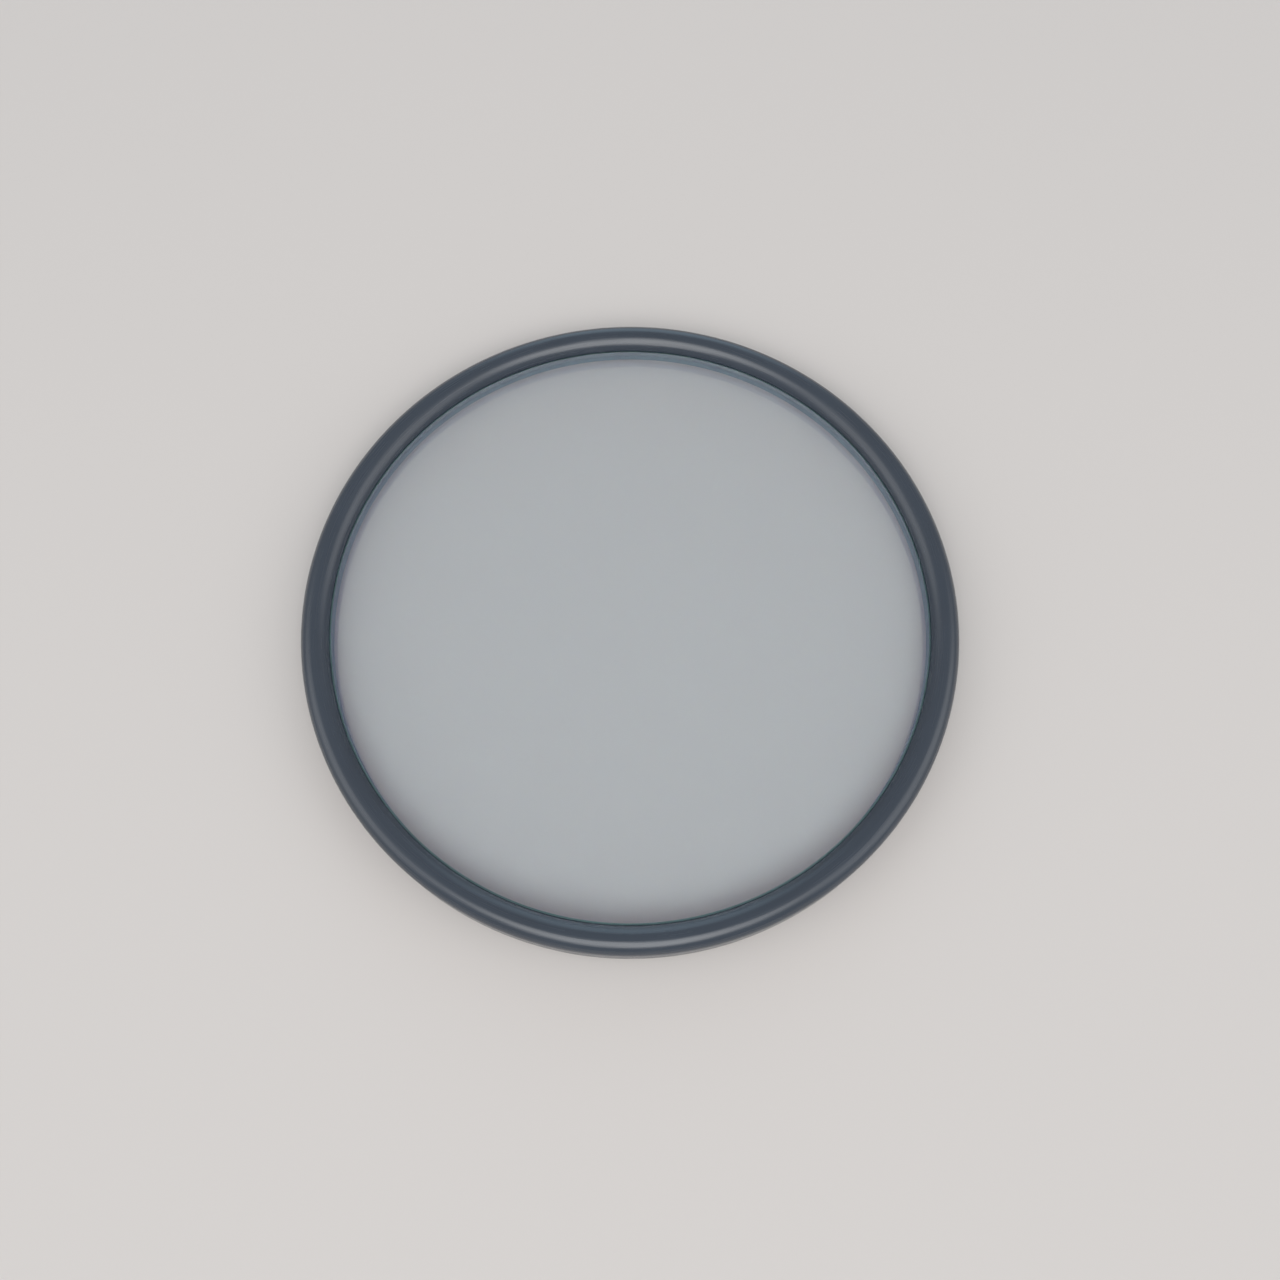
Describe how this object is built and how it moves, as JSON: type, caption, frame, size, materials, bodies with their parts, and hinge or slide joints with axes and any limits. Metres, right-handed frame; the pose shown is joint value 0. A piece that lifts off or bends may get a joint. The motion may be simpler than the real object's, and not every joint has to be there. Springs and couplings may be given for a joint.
{
  "type": "optical bandpass filter",
  "caption": "Round mounted bandpass filter: a coated glass disc rolled into a black anodised ring with a crowned front rim and a flat rear face.",
  "frame": {"origin": "centre of the mount ring's flat rear face", "axes": "+Z along the optical axis, out of the front, the side with the crowned rim; the part is round, so X and Y are free"},
  "size_m": [0.05, 0.05, 0.0035],
  "materials": {
    "anodised_ring": "black anodised, satin",
    "coated_glass": "polished and coated faces, ground edge and bevels"
  },
  "bodies": {
    "root": {"mount_ring": "anodised_ring", "filter_glass": "coated_glass"}
  },
  "joints": []
}
